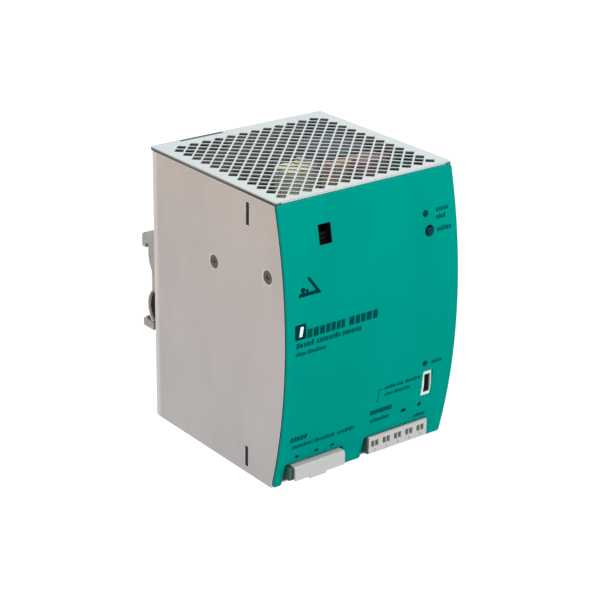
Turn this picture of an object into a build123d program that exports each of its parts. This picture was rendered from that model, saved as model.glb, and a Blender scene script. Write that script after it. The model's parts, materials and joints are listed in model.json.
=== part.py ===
from build123d import *
import math
import os

# DIN rail power supply, in millimetres.
#
# Everything is drawn in a bench frame: X runs from the left side's outer face to the right side's, Y runs
# back from the straight top and bottom edges of the curved front, and Z runs up from the foot of the case.
# save() moves each part so that the stored origin is the bottom centre of the whole object, with the
# curved front facing -Y and the rail hook on the +Y side.

# Case
WIDTH = 90.0
HEIGHT = 124.0
SIDE_DEPTH = 87.0  # front edge to rear wall
BULGE = 8.2  # how far the front bows out at mid height
WALL = 1.6  # bent aluminium sheet
COVER_SHEET = 0.6
COVER_EDGE = 1.0  # turned-down rim of the top cover
COVER_RIM = 2.8  # plain strip along each side
CLIP_SHEET = 1.0
REAR_BEND = 1.8
WALL_TOP = HEIGHT - 1.8
PANEL_THICK = 2.2
PANEL_LIP = 1.1  # the panel's rim, which covers the walls' front edges
WALL_INSET = 1.5  # walls' front edges behind the curved front

# The front is one arc over the full height.
ARC_R = (HEIGHT**2 / 4 + BULGE**2) / (2 * BULGE)
ARC_BACK = ARC_R - BULGE

# Ventilation mesh: square holes standing on their corners
HOLE_SIDE = 3.7
MESH_STEP = 4.5 * math.sqrt(2)
MESH_X0 = 6.3
MESH_Y0 = 5.0
MESH_COLUMNS = 13
MESH_ROWS = 12
REAR_NOTCH = (14.0, 35.7)
REAR_NOTCH_DEPTH = 2.3
CATCH_FOOT = 118.5  # foot of the notch in the rear wall

# Rail mount
SEAT = 5.0  # seat face behind the rear wall
HOOK_REACH = 9.7  # hook tip behind the rear wall
RAIL_TOP = 78.5  # roof of the hook's slot
RAIL_GAP = 1.7

# Front controls, each as bench X and Z
WINDOW = (18.4, 24.6, 103.8, 111.9)
OVERLOAD_LED = (73.4, 105.4)
OUTPUT_LED = (74.2, 39.2)
RESET = (74.9, 98.1)
LAMP_HOLE_R = 1.9
RESET_HOLE_R = 2.4
JUMPER_WELL = (74.1, 79.1, 23.4, 35.1)
INPUT_NOTCH = (4.1, 34.2, 10.8)
OUTPUT_NOTCH = (44.4, 79.9, 11.1)
BOARD_FRONT = 4.5  # control board's front face
BOARD_THICK = 1.6

# Terminals
INPUT_POLES = (11.5, 19.7, 27.9)
OUTPUT_POLES = tuple(50.4 + 6.3 * i for i in range(5))
TERMINAL_BOARD_Z = 13.2
TERMINAL_TOP = TERMINAL_BOARD_Z + BOARD_THICK
SOCKET_FRONT = 2.4
SOCKET_BACK = 15.0
SOCKET_FOOT = 2.0
POCKET_Z = (3.3, 10.5)  # opening that takes a plug's body

# Side screws in the left wall, as bench Y and Z
HEATSINK_SCREW = (41.5, 86.7)
BRACKET_SCREW = (5.1, 91.6)
SLOT_Y = 18.4
SLOT_WIDTH = 2.2
SLOTS_Z = ((109.4, 119.0), (2.9, 12.3))
SIDE_SCREW_HEAD = 2.9
BOARD_SCREW_HEAD = 2.2
SCREW_SUNK = 0.15  # countersunk heads sit this far below the sheet's face

# Boards
MAIN_BOARD_X = 83.4
MAIN_BOARD = (12.0, 82.0, 16.0, 118.0)
BOARD_SCREWS = ((18.0, 24.0), (76.0, 24.0), (18.0, 106.0), (76.0, 106.0))

HOOK_TIP = SIDE_DEPTH + HOOK_REACH
TO_ORIGIN = Location((-WIDTH / 2, -(HOOK_TIP - BULGE) / 2, 0))


# ---------------------------------------------------------------- helpers


def save(name, shape):
    """Write one node, moved to the stored origin."""
    export_step(TO_ORIGIN * shape, f"parts/{name}.step")


def block(x0, x1, y0, y1, z0, z1):
    """Box between opposite corners."""
    middle = Location(((x0 + x1) / 2, (y0 + y1) / 2, (z0 + z1) / 2))
    return middle * Box(x1 - x0, y1 - y0, z1 - z0)


def rod_x(x0, x1, y, z, radius):
    """Cylinder along X."""
    return Location(((x0 + x1) / 2, y, z), (0, 90, 0)) * Cylinder(radius, x1 - x0)


def rod_y(x, y0, y1, z, radius):
    """Cylinder along Y."""
    return Location((x, (y0 + y1) / 2, z), (90, 0, 0)) * Cylinder(radius, y1 - y0)


def rod_z(x, y, z0, z1, radius):
    """Cylinder along Z."""
    return Location((x, y, (z0 + z1) / 2)) * Cylinder(radius, z1 - z0)


def group(solids):
    """Several separate solids as one node."""
    return Compound([solid for shape in solids for solid in shape.solids()])


def side_profile(points, x0, x1):
    """Prism along X from an outline of (y, z) points."""
    outline = Polyline(*[(y, z) for y, z in points], close=True)
    return Location((x0, 0, 0)) * extrude(Plane.YZ * make_face(outline), amount=x1 - x0)


def front_profile(points, y0, y1):
    """Prism along Y from an outline of (x, z) points."""
    outline = Polyline(*[(x, z) for x, z in points], close=True)
    return Location((0, y1, 0)) * extrude(Plane.XZ * make_face(outline), amount=y1 - y0)


def inside_arc(inset):
    """Everything behind the front arc moved in by inset."""
    return rod_x(-5, WIDTH + 5, ARC_BACK, HEIGHT / 2, ARC_R - inset)


def front_y(z):
    """Bench Y of the curved front's surface at a height."""
    return ARC_BACK - math.sqrt(ARC_R**2 - (z - HEIGHT / 2) ** 2)


def rounded_prism_z(x0, x1, y0, y1, z0, z1, radius):
    """Upright prism with rounded vertical edges."""
    body = block(x0, x1, y0, y1, z0, z1)
    return fillet(body.edges().filter_by(Axis.Z), radius)


def countersunk_screw(length, head_r, shank_r):
    """Screw with its head's flat at z = 0 and its shank up +Z, with a cross recess."""
    head = Location((0, 0, head_r / 4)) * Cone(head_r, head_r / 2, head_r / 2)
    screw = head + rod_z(0, 0, 0.1, length, shank_r)
    arm = head_r * 1.1
    recess = block(-arm / 2, arm / 2, -0.28, 0.28, -1, 0.7)
    recess += block(-0.28, 0.28, -arm / 2, arm / 2, -1, 0.7)
    return screw - recess


def countersink(head_r, shank_r, depth):
    """Cutter for a countersunk hole opening at z = 0 and going up +Z."""
    rim = head_r + SCREW_SUNK + 0.1
    cone = Location((0, 0, head_r / 4)) * Cone(rim, rim - head_r / 2, head_r / 2)
    return cone + rod_z(0, 0, -1, 0.01, rim) + rod_z(0, 0, 0, depth, shank_r + 0.1)


def ring_x(x, y, z, outer, inner, thick):
    """Flat washer-shaped ring, centred on x, with its axis along X."""
    return rod_x(x - thick / 2, x + thick / 2, y, z, outer) - rod_x(x - thick, x + thick, y, z, inner)


# ---------------------------------------------------------------- enclosure


def make_chassis():
    """Bent sheet: left wall, rear wall and right wall, with curved front edges."""
    outer = block(0, WIDTH, -20, SIDE_DEPTH, 0, WALL_TOP)
    corners = outer.edges().filter_by(Axis.Z).group_by(Axis.Y)[-1]
    outer = fillet(corners, REAR_BEND)
    inner = block(WALL, WIDTH - WALL, -21, SIDE_DEPTH - WALL, -1, WALL_TOP + 1)
    corners = inner.edges().filter_by(Axis.Z).group_by(Axis.Y)[-1]
    inner = fillet(corners, REAR_BEND - WALL)
    shell = (outer - inner) & inside_arc(WALL_INSET)
    for z0, z1 in SLOTS_Z:
        shell -= block(-1, WIDTH + 1, SLOT_Y - SLOT_WIDTH / 2, SLOT_Y + SLOT_WIDTH / 2, z0, z1)
    for y, z in (HEATSINK_SCREW, BRACKET_SCREW):
        shell -= Location((0, y, z), (0, 90, 0)) * countersink(SIDE_SCREW_HEAD, 1.5, 5)
    for y, z in BOARD_SCREWS:
        shell -= Location((WIDTH, y, z), (0, -90, 0)) * countersink(BOARD_SCREW_HEAD, 1.3, 5)
    shell -= block(REAR_NOTCH[0], REAR_NOTCH[1], SIDE_DEPTH - 3, SIDE_DEPTH + 1, CATCH_FOOT, HEIGHT)
    for x in BRACKET_SCREWS_X:
        shell -= rod_y(x, SIDE_DEPTH - 3, SIDE_DEPTH + 1, BRACKET_SCREWS_Z, 1.25)
    return shell


def mesh_centres():
    """Centres of the staggered ventilation holes."""
    centres = []
    for row in range(MESH_ROWS):
        for column in range(MESH_COLUMNS):
            x = MESH_X0 + MESH_STEP * column
            y = MESH_Y0 + MESH_STEP * row
            centres.append((x, y))
            if column < MESH_COLUMNS - 1:
                centres.append((x + MESH_STEP / 2, y + MESH_STEP / 2))
    return centres


def mesh_plate(x0, x1, y0, y1, z0, holes, clip, notch):
    """Flat sheet with the ventilation mesh, its rear corners clipped or its rear edge notched."""
    rim = [(x0, y0), (x1, y0), (x1, y1 - clip)]
    if clip:
        rim.append((x1 - clip, y1))
    if notch:
        a, b = REAR_NOTCH
        y = y1 - REAR_NOTCH_DEPTH
        rim += [(b, y1), (b, y), (a, y), (a, y1)]
    if clip:
        rim.append((x0 + clip, y1))
    rim.append((x0, y1 - clip))
    outer = Wire.make_polygon([Vector(x, y, z0) for x, y in rim], close=True)
    reach = HOLE_SIDE / math.sqrt(2)
    inner = []
    for x, y in holes:
        corners = [(x + reach, y), (x, y + reach), (x - reach, y), (x, y - reach)]
        inner.append(Wire.make_polygon([Vector(a, b, z0) for a, b in corners], close=True))
    return extrude(Face(outer, inner), amount=COVER_SHEET, dir=(0, 0, 1))


def make_top_cover():
    """Perforated top that overlaps the side walls, with a turned-down rim and rounded side edges."""
    y0, y1 = 0.3, SIDE_DEPTH
    under, sheet = HEIGHT - COVER_EDGE, HEIGHT - COVER_SHEET
    cover = mesh_plate(COVER_RIM, WIDTH - COVER_RIM, y0, y1, sheet, mesh_centres(), 0, True)
    edge = block(0, COVER_RIM, y0, y1, under, HEIGHT)
    corner = edge.edges().filter_by(Axis.Y).group_by(Axis.X)[0].sort_by(Axis.Z)[-1:]
    left = fillet(corner, 0.6)
    cover += left + mirror(left, about=Plane.YZ.offset(WIDTH / 2))
    cover += block(COVER_RIM - 0.1, WIDTH - COVER_RIM + 0.1, y0, y0 + 1.2, under, sheet + 0.1)
    for x0, x1 in ((COVER_RIM - 0.1, REAR_NOTCH[0]), (REAR_NOTCH[1], WIDTH - COVER_RIM + 0.1)):
        cover += block(x0, x1, y1 - 1.2, y1, under, sheet + 0.1)
    return cover


def make_bottom_cover():
    """Perforated bottom between the walls, with clipped rear corners."""
    inner = WALL + 0.2
    holes = [(x, y) for x, y in mesh_centres() if y > SOCKET_BACK + 3]
    return mesh_plate(inner, WIDTH - inner, 2.6, SIDE_DEPTH - WALL - 0.2, 0, holes, 1.5, False)


def cover_clip(z0, z1, foot_z, slot):
    """Left-hand clip: a strip up the wall, a foot along the cover's sheet and a tab in the slot."""
    x = WALL + 0.2
    y0, y1 = SLOT_Y - 6, SLOT_Y + 6
    clip = block(x, x + CLIP_SHEET, y0, y1, z0, z1)
    clip += block(x, x + 2.5, y0, y1, foot_z, foot_z + CLIP_SHEET)
    return clip + block(0.7, x + 0.4, SLOT_Y - 0.6, SLOT_Y + 0.6, slot[0] + 0.8, slot[1] - 0.8)


def make_cover_clips():
    """Four spring clips that hold the two covers in the side walls' slots."""
    upper, lower = SLOTS_Z
    under_top = HEIGHT - COVER_EDGE
    left = [cover_clip(upper[0] + 0.6, under_top, under_top - CLIP_SHEET, upper)]
    left.append(cover_clip(COVER_SHEET, lower[1] + 1.1, COVER_SHEET, lower))
    right = [mirror(clip, about=Plane.YZ.offset(WIDTH / 2)) for clip in left]
    return group(left + right)


def make_cover_catch():
    """Dark catch that fills the notch at the back of the top cover and laps inside the rear wall."""
    x0, x1 = REAR_NOTCH
    catch = block(x0 + 0.15, x1 - 0.15, SIDE_DEPTH - 2.1, SIDE_DEPTH - 0.1, CATCH_FOOT + 0.15, HEIGHT - 0.05)
    inside = SIDE_DEPTH - WALL - 0.2
    return catch + block(x0 - 1.5, x1 + 1.5, inside - 1.2, inside, CATCH_FOOT - 1.5, WALL_TOP - 0.2)


def panel_outline():
    """Front panel seen square on, as (x, z) points, with the two terminal notches."""
    left, right = 0.1, WIDTH - 0.1
    bottom, top = 0.6, HEIGHT - COVER_EDGE - 0.4
    points = [(left, bottom), (INPUT_NOTCH[0], bottom), (INPUT_NOTCH[0], INPUT_NOTCH[2])]
    points += [(INPUT_NOTCH[1], INPUT_NOTCH[2]), (INPUT_NOTCH[1], bottom)]
    points += [(OUTPUT_NOTCH[0], bottom), (OUTPUT_NOTCH[0], OUTPUT_NOTCH[2])]
    points += [(OUTPUT_NOTCH[1], OUTPUT_NOTCH[2]), (OUTPUT_NOTCH[1], bottom)]
    points += [(right, bottom), (right, top), (left, top)]
    return points


def make_front_panel():
    """Curved plastic panel with its window, holes and notches, and four snap hooks."""
    slab = front_profile(panel_outline(), -10, 10)
    slab = fillet(slab.edges().filter_by(Axis.Y), 0.9)
    panel = (slab & inside_arc(0)) - inside_arc(PANEL_THICK)
    for x0, x1 in ((-1, WALL + 0.3), (WIDTH - WALL - 0.3, WIDTH + 1)):
        panel -= block(x0, x1, -BULGE, SOCKET_BACK, -1, HEIGHT + 1) & inside_arc(PANEL_LIP)
    x0, x1, z0, z1 = WINDOW
    panel -= block(x0, x1, -10, 10, z0, z1)
    x0, x1, z0, z1 = JUMPER_WELL
    panel -= block(x0 - 0.2, x1 + 0.2, -10, 10, z0 - 0.2, z1 + 0.2)
    for (x, z), radius in ((OVERLOAD_LED, LAMP_HOLE_R), (OUTPUT_LED, LAMP_HOLE_R), (RESET, RESET_HOLE_R)):
        panel -= rod_y(x, -10, 10, z, radius)
    for z in (26.0, 104.0):
        for x0, x1 in ((1.9, 3.2), (WIDTH - 3.2, WIDTH - 1.9)):
            panel += block(x0, x1, front_y(z) + PANEL_THICK - 0.6, 8.0, z - 4, z + 4)
    return panel


def make_insulation_liner():
    """Thin insulating sheet between the main board and the right wall."""
    y0, y1, z0, z1 = MAIN_BOARD
    sheet = block(WIDTH - WALL - 0.5, WIDTH - WALL - 0.1, y0 - 1, y1 - 1, z0 - 2, 109)
    for y, z in BOARD_SCREWS:
        sheet -= rod_x(80, WIDTH, y, z, 3.3)
    return sheet


def make_side_screws():
    """The two countersunk screws that show in the left wall."""
    screws = []
    for (y, z), length in ((HEATSINK_SCREW, 6.2), (BRACKET_SCREW, 2.8)):
        screw = countersunk_screw(length, SIDE_SCREW_HEAD, 1.5)
        screws.append(Location((SCREW_SUNK, y, z), (0, 90, 0)) * screw)
    return group(screws)


def make_board_screws():
    """Countersunk screws in the right wall that hold the main board."""
    screws = []
    for y, z in BOARD_SCREWS:
        screw = countersunk_screw(6.0, BOARD_SCREW_HEAD, 1.3)
        screws.append(Location((WIDTH - SCREW_SUNK, y, z), (0, -90, 0)) * screw)
    return group(screws)


# ---------------------------------------------------------------- rail mount

BASE_Y = SIDE_DEPTH  # the bracket's base plate lies on the rear wall
BASE_THICK = 1.6
BASE_Z = (47.0, 67.6)
BRACKET_SCREWS_X = (16.0, 36.0, 54.0, 74.0)
BRACKET_SCREWS_Z = 62.6
PLATE_Y0 = BASE_Y + BASE_THICK + 0.2
PLATE_Y1 = PLATE_Y0 + 1.6
GUIDE_X = (10.0, 76.0)
SPRING_X = ((1.5, 8.5), (81.5, 88.5))
SPRING_BACK = PLATE_Y1 - 0.5
FOOT_Z = (39.2, 42.8)
BOW_REACH = 2.0  # how far each bow stands past the rail's seat before the rail presses it flat
SPRING_Z = (FOOT_Z[1] + 0.1, 57.6, 66.0)  # lower end, knee and upper end


def make_rail_bracket():
    """Base plate, hook with its slot for the rail's upper lip, and two latch guides."""
    seat_y = SIDE_DEPTH + SEAT
    slot_y = seat_y + RAIL_GAP
    y0 = BASE_Y
    points = [(y0, 66.6), (y0 + 2.4, 66.6), (seat_y - 1.6, 68.2), (seat_y - 0.7, 70.0), (seat_y, 73.0)]
    points += [(seat_y, RAIL_TOP), (slot_y, RAIL_TOP)]
    points += [(slot_y, 76.4), (HOOK_TIP, 76.4), (HOOK_TIP, 81.6), (HOOK_TIP - 1.2, 82.8), (y0, 86.0)]
    bracket = side_profile(points, 1, WIDTH - 1)
    bracket += block(1, WIDTH - 1, y0, y0 + BASE_THICK, *BASE_Z)
    for x in BRACKET_SCREWS_X:
        bracket -= rod_y(x, y0 - 1, y0 + 6, BRACKET_SCREWS_Z, 1.7)
    for x in GUIDE_X:
        web, lip = ((x, x + 1.4), (x, x + 4.4)) if x < WIDTH / 2 else ((x + 2.6, x + 4), (x - 0.4, x + 4))
        bracket += block(*web, y0 + BASE_THICK - 0.2, PLATE_Y1 + 1.3, BASE_Z[0], BASE_Z[0] + 10)
        bracket += block(*lip, PLATE_Y1 + 0.3, PLATE_Y1 + 1.3, BASE_Z[0], BASE_Z[0] + 10)
    for x0, x1 in SPRING_X:
        bracket -= block(x0 - 1, x1 + 1, y0 - 1, PLATE_Y0, BASE_Z[0] - 1, SPRING_Z[1])
        bracket += block(x0, x1, y0 + BASE_THICK - 0.2, SPRING_BACK - 0.05, SPRING_Z[1] + 0.4, BASE_Z[1])
    return bracket


def make_rail_latch():
    """Sliding plate with the foot that catches the rail's lower lip, and a tool slot."""
    seat_y = SIDE_DEPTH + SEAT
    z0, z1 = FOOT_Z
    lip_y = seat_y + RAIL_GAP
    points = [(PLATE_Y0, z0), (HOOK_TIP, z0), (HOOK_TIP, z1 - 0.4), (lip_y + 0.6, z1 + 1.5)]
    points += [(lip_y, z1 + 1.5), (lip_y, z1), (PLATE_Y0, z1)]
    foot = side_profile(points, 1, WIDTH - 1)
    plate = block(11.8, WIDTH - 11.8, PLATE_Y0, PLATE_Y1, z0, 56.6)
    latch = foot + plate
    pull = block(37, 53, PLATE_Y0, PLATE_Y1, z0 - 7.2, z0 + 0.5)
    latch += fillet(pull.edges().filter_by(Axis.Y).group_by(Axis.Z)[0], 2.0)
    latch -= block(41, 49, PLATE_Y0 - 1, PLATE_Y1 + 1, z0 - 5.1, z0 - 2.3)
    return latch


def bow_spring(x0, x1):
    """Leaf spring: flat where it is riveted, then one bow out towards the rail."""
    back, front = SPRING_BACK, SPRING_BACK + 0.7
    seat_y = SIDE_DEPTH + SEAT
    low, knee, top = SPRING_Z
    outer = ThreePointArc((front, knee), (seat_y + BOW_REACH, (knee + low) / 2), (front, low))
    inner = ThreePointArc((back, low), (seat_y + BOW_REACH - 0.7, (knee + low) / 2), (back, knee))
    edges = [Line((back, top), (front, top)), Line((front, top), (front, knee)), outer]
    edges += [Line((front, low), (back, low)), inner, Line((back, knee), (back, top))]
    face = make_face(edges)
    return Location((x0, 0, 0)) * extrude(Plane.YZ * face, amount=x1 - x0)


def make_latch_springs():
    """The pair of bow springs that lift the latch."""
    return group([bow_spring(x0, x1) for x0, x1 in SPRING_X])


def make_spring_buffers():
    """Rubber buffers on the rear wall, in the hollow behind each bow."""
    low, knee = SPRING_Z[:2]
    middle = (low + knee) / 2
    back = SIDE_DEPTH
    points = [(back, low + 1.9), (back + 3.0, low + 1.9), (back + 4.4, middle - 2.9), (back + 4.9, middle)]
    points += [(back + 4.4, middle + 2.9), (back + 3.0, knee - 1.4), (back, knee - 1.0)]
    return group([side_profile(points, x0 + 0.3, x1 - 0.3) for x0, x1 in SPRING_X])


def make_spring_rivets():
    """Rivet heads that hold the springs' flats on their pads."""
    rivets = []
    for x0, x1 in SPRING_X:
        y = SPRING_BACK + 0.75
        head = rod_y((x0 + x1) / 2, y, y + 0.9, 62.0, 1.7)
        rivets.append(chamfer(head.edges().group_by(Axis.Y)[-1], 0.4))
    return group(rivets)


def make_bracket_screws():
    """Pan-head screws that fix the bracket to the rear wall."""
    screws = []
    for x in BRACKET_SCREWS_X:
        y = BASE_Y + BASE_THICK
        head = rod_y(x, y, y + 1.6, BRACKET_SCREWS_Z, 2.6)
        head = fillet(head.edges().group_by(Axis.Y)[-1], 0.6)
        head += rod_y(x, y - 4.6, y + 0.2, BRACKET_SCREWS_Z, 1.2)
        head -= block(x - 1.6, x + 1.6, y + 0.8, y + 3, BRACKET_SCREWS_Z - 0.28, BRACKET_SCREWS_Z + 0.28)
        head -= block(x - 0.28, x + 0.28, y + 0.8, y + 3, BRACKET_SCREWS_Z - 1.6, BRACKET_SCREWS_Z + 1.6)
        screws.append(head)
    return group(screws)


# ---------------------------------------------------------------- boards and power parts


def make_main_pcb():
    """Upright main board along the right wall."""
    y0, y1, z0, z1 = MAIN_BOARD
    board = block(MAIN_BOARD_X, MAIN_BOARD_X + BOARD_THICK, y0, y1, z0, z1)
    for y, z in BOARD_SCREWS:
        board -= rod_x(80, WIDTH, y, z, 1.5)
    return board


def make_board_spacers():
    """Tapped spacers between the main board and the right wall."""
    spacers = []
    x0, x1 = MAIN_BOARD_X + BOARD_THICK, WIDTH - WALL
    for y, z in BOARD_SCREWS:
        spacers.append(rod_x(x0, x1, y, z, 2.8) - rod_x(x0 - 1, x1 + 1, y, z, 1.35))
    return group(spacers)


def make_heatsink():
    """Aluminium bar with fins, screwed to the left wall."""
    bar = block(WALL, 6.0, 30, 80, 76, 97)
    for i in range(5):
        y = 33 + 2.6 * i
        bar += block(5.5, 13.0, y, y + 1.0, 76, 97)
    return bar - rod_x(WALL - 1, 7.5, *HEATSINK_SCREW, 1.52)


TRANSISTOR_Y = (51.0, 61.0, 71.0)


def make_power_transistors():
    """Flat-pack transistors on the heatsink, each with three leads."""
    parts = []
    for y in TRANSISTOR_Y:
        body = block(6.0, 10.2, y - 4, y + 4, 80, 94)
        for i in (-1, 0, 1):
            body += block(7.6, 8.2, y + 2.5 * i - 0.5, y + 2.5 * i + 0.5, 70, 80.2)
        parts.append(body)
    return group(parts)


def make_transistor_clip():
    """Steel strip that presses the transistors on the heatsink."""
    strip = block(10.2, 11.2, 47, 79, 85, 89)
    ends = block(6.0, 11.2, 77.4, 79, 85, 89)
    return strip + ends


def make_bridge_rectifier():
    """Bridge rectifier on the main board, with four leads."""
    y0, y1, x1 = 62.0, 80.0, MAIN_BOARD_X
    body = block(x1 - 18, x1 - 4, y0, y1, 43, 47.5)
    for i in range(4):
        y = y0 + 2.5 + 4.3 * i
        body += block(x1 - 4.2, x1, y - 0.5, y + 0.5, 44.8, 45.8)
    return body


def capacitor_x(y, z, radius, length):
    """Can standing on the main board along -X, with a crimp groove near its foot."""
    x1 = MAIN_BOARD_X
    can = rod_x(x1 - length, x1, y, z, radius)
    can = fillet(can.edges().group_by(Axis.X)[0], 0.8)
    return can - ring_x(x1 - 3.5, y, z, radius + 1, radius - 0.5, 1.2)


def make_bulk_capacitors():
    """Two large input capacitors."""
    return group([capacitor_x(y, 66, 12, 42) for y in (30, 56)])


def make_output_capacitors():
    """Row of smaller output capacitors."""
    return group([capacitor_x(20 + 13.5 * i, 44, 6.2, 26) for i in range(3)])


def toroid_core(x, y, z, major, minor):
    """Ring core with its axis along X."""
    return Location((x, y, z), (0, 90, 0)) * Torus(major, minor)


def toroid_winding(x, y, z, major, minor, wire, turns):
    """Loops of wire spaced round a ring core, with room for the core's surface."""
    loops = []
    for i in range(turns):
        angle = 360 * i / turns
        loop = Location((0, major, 0), (0, 90, 0)) * Torus(minor + wire + 0.1, wire)
        turned = Location((0, 0, 0), (0, 0, angle)) * loop
        loops.append(Location((x, y, z), (0, 90, 0)) * turned)
    return group(loops)


INPUT_CHOKE = (78.5, 27.0, 92.5, 7.5, 3.4)
OUTPUT_CHOKE = (78.6, 69.0, 29.5, 7.0, 3.0)


def make_transformer_core():
    """Ferrite frame round the winding: two outer legs and two yokes."""
    return block(60, 82, 44, 68, 92, 120) - block(50, 83, 49, 63, 97, 115)


def make_transformer_bobbin():
    """Plastic bobbin flanges either side of the winding, with pins to the board."""
    flange = block(46, 82, 49.2, 62.8, 97.2, 98.4) + block(58, 82, 49.2, 62.8, 113.6, 114.8)
    tube = block(54, 79, 53, 59, 98.0, 114.0)
    return flange + tube


def make_transformer_tape():
    """Taped winding on the bobbin."""
    body = rounded_prism_z(45.0, 81.6, 49.8, 62.2, 98.6, 113.4, 2.5)
    return body - block(53.9, 79.1, 52.9, 59.1, 90, 120)


def film_capacitor(x0, y0, y1, z0, z1):
    """Boxed film capacitor standing on the main board."""
    body = block(x0, MAIN_BOARD_X, y0, y1, z0, z1)
    return fillet(body.edges().filter_by(Axis.X), 0.8)


FUSE_Y = 24.0
FUSE_Z = TERMINAL_TOP + 4.4


def make_fuse():
    """Glass tube fuse with end caps."""
    return rod_x(12, 32, FUSE_Y, FUSE_Z, 2.5)


def make_fuse_clips():
    """Spring clips that hold the fuse."""
    clips = []
    for x in (14.5, 29.5):
        clip = block(x - 2, x + 2, FUSE_Y - 3.1, FUSE_Y + 3.1, TERMINAL_TOP, FUSE_Z)
        clip -= block(x - 3, x + 3, FUSE_Y - 2.6, FUSE_Y + 2.6, TERMINAL_TOP + 0.7, FUSE_Z + 0.4)
        clips.append(clip - rod_x(x - 3, x + 3, FUSE_Y, FUSE_Z, 2.55))
    return group(clips)


def make_varistor():
    """Disc varistor standing on the terminal board."""
    z = TERMINAL_TOP
    varistor = rod_x(40, 44, FUSE_Y, z + 8.8, 7)
    varistor = fillet(varistor.edges(), 1.2)
    for y in (FUSE_Y - 3, FUSE_Y + 3):
        varistor += block(41.6, 42.4, y - 0.4, y + 0.4, z, z + 3.8)
    return varistor


def make_terminal_pcb():
    """Flat board over the terminal sockets."""
    return block(4, 86, 3.4, 34, TERMINAL_BOARD_Z, TERMINAL_TOP)


def make_board_connectors():
    """Plug connectors that join the terminal board and the control board to the main board."""
    low = block(70, MAIN_BOARD_X, 14, 32, TERMINAL_TOP, TERMINAL_TOP + 5.8)
    high = block(78, MAIN_BOARD_X, BOARD_FRONT + BOARD_THICK, 15, 110, 118)
    return group([low, high])


# ---------------------------------------------------------------- front controls


def make_control_pcb():
    """Upright board behind the front panel."""
    board = block(4, 86, BOARD_FRONT, BOARD_FRONT + BOARD_THICK, 17, 120.5)
    return board - rod_y(8.0, 0, 10, BRACKET_SCREW[1], 1.5)


def make_board_bracket():
    """Small angle that ties the control board to the left wall."""
    y = BOARD_FRONT + BOARD_THICK
    z = BRACKET_SCREW[1]
    angle = block(WALL, WALL + 1.2, 1.0, y + 1.2, z - 4, z + 4)
    angle += block(WALL, 12, y, y + 1.2, z - 4, z + 4)
    return angle - rod_x(0, 4, *BRACKET_SCREW, 1.52)


def make_control_chips():
    """Small integrated circuits on the front of the control board."""
    chips = []
    for x, z in ((30, 60), (44, 60), (58, 74), (36, 84)):
        chip = block(x, x + 8, BOARD_FRONT - 1.4, BOARD_FRONT, z, z + 5)
        chips.append(chamfer(chip.edges().group_by(Axis.Y)[0], 0.3))
    return group(chips)


def panel_lamp(x, z, sunk):
    """Domed lamp from the control board into its hole, its tip sunk below the panel's surface."""
    tip = front_y(z) + sunk
    dome = Location((x, tip + 1.2, z)) * Sphere(1.2)
    lamp = dome + rod_y(x, tip + 1.2, BOARD_FRONT, z, 1.2)
    return lamp + rod_y(x, BOARD_FRONT - 1.0, BOARD_FRONT, z, 1.7)


BUTTON_R = 1.45
BUTTON_PROUD = 0.6
SWITCH_FRONT = BOARD_FRONT - 3.6
COLLAR = (0.6, 1.35)  # the button's collar, behind the panel's inner face


def make_reset_button():
    """Round plunger, standing a little proud of its hole and kept in by a collar."""
    x, z = RESET
    face = front_y(z) - BUTTON_PROUD
    behind = front_y(z) + PANEL_THICK
    button = rod_y(x, face, behind + 0.7, z, BUTTON_R)
    button = chamfer(button.edges().group_by(Axis.Y)[0], 0.25)
    button += rod_y(x, behind + COLLAR[0], behind + COLLAR[1], z, 2.9)
    button += rod_y(x, behind + 0.8, SWITCH_FRONT + 0.5, z, 1.0)
    return button


def make_reset_switch():
    """Push switch on the control board, with a bore for the button's stem."""
    x, z = RESET
    body = block(x - 3.2, x + 3.2, SWITCH_FRONT, BOARD_FRONT, z - 3.2, z + 3.2)
    return body - rod_y(x, SWITCH_FRONT - 1, BOARD_FRONT - 1.0, z, 1.15)


def make_reset_spring():
    """Coil spring between the switch and the button's collar."""
    x, z = RESET
    start = front_y(z) + PANEL_THICK + COLLAR[1] + 0.2
    length = SWITCH_FRONT - start - 0.2
    coil = Helix(pitch=length / 3, height=length, radius=1.75)
    section = Plane(origin=coil @ 0, z_dir=coil % 0) * Circle(0.13)
    wire = sweep(section, path=coil)
    return Location((x, SWITCH_FRONT - 0.2, z), (90, 0, 0)) * wire


def make_selector_body():
    """Slide switch on the control board, open to the front over its slider."""
    x0, x1, z0, z1 = WINDOW
    front = front_y(z0) + PANEL_THICK
    body = block(x0 - 1.8, x1 + 1.8, front, BOARD_FRONT, z0 - 2, z1 + 2)
    body = body & inside_arc(PANEL_THICK + 0.3)
    return body - block(x0 + 0.6, x1 - 0.6, front - 1, BOARD_FRONT - 1.5, z0 + 0.5, z1 - 0.5)


def make_selector_slider():
    """Slider with a cross slot for a screwdriver, at the bottom of its track."""
    x0, x1, z0, z1 = WINDOW
    front = front_y(z0) + PANEL_THICK + 0.5
    knob = block(x0 + 0.9, x1 - 0.9, front, BOARD_FRONT - 1.7, z0 + 0.8, z0 + 4.2)
    return knob - block(x0, x1, front - 1, front + 0.9, z0 + 2.1, z0 + 2.9)


def make_jumper_header():
    """White well, flush with the panel, that holds the jumper's pins."""
    x0, x1, z0, z1 = JUMPER_WELL
    front = front_y((z0 + z1) / 2) + 0.2
    body = block(x0, x1, front, BOARD_FRONT, z0, z1)
    body = body & inside_arc(0.1)
    body -= block(x0 + 1.1, x1 - 0.5, -10, -0.9, z0 + 1.4, z1 - 1.8)
    for z in JUMPER_PINS_Z:
        body -= block(JUMPER_X - 0.32, JUMPER_X + 0.32, -2, 6, z - 0.32, z + 0.32)
    return body


JUMPER_X = (JUMPER_WELL[0] + 1.1 + JUMPER_WELL[1] - 0.5) / 2
JUMPER_PINS_Z = tuple(26.5 + 2.54 * i for i in range(3))


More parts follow.
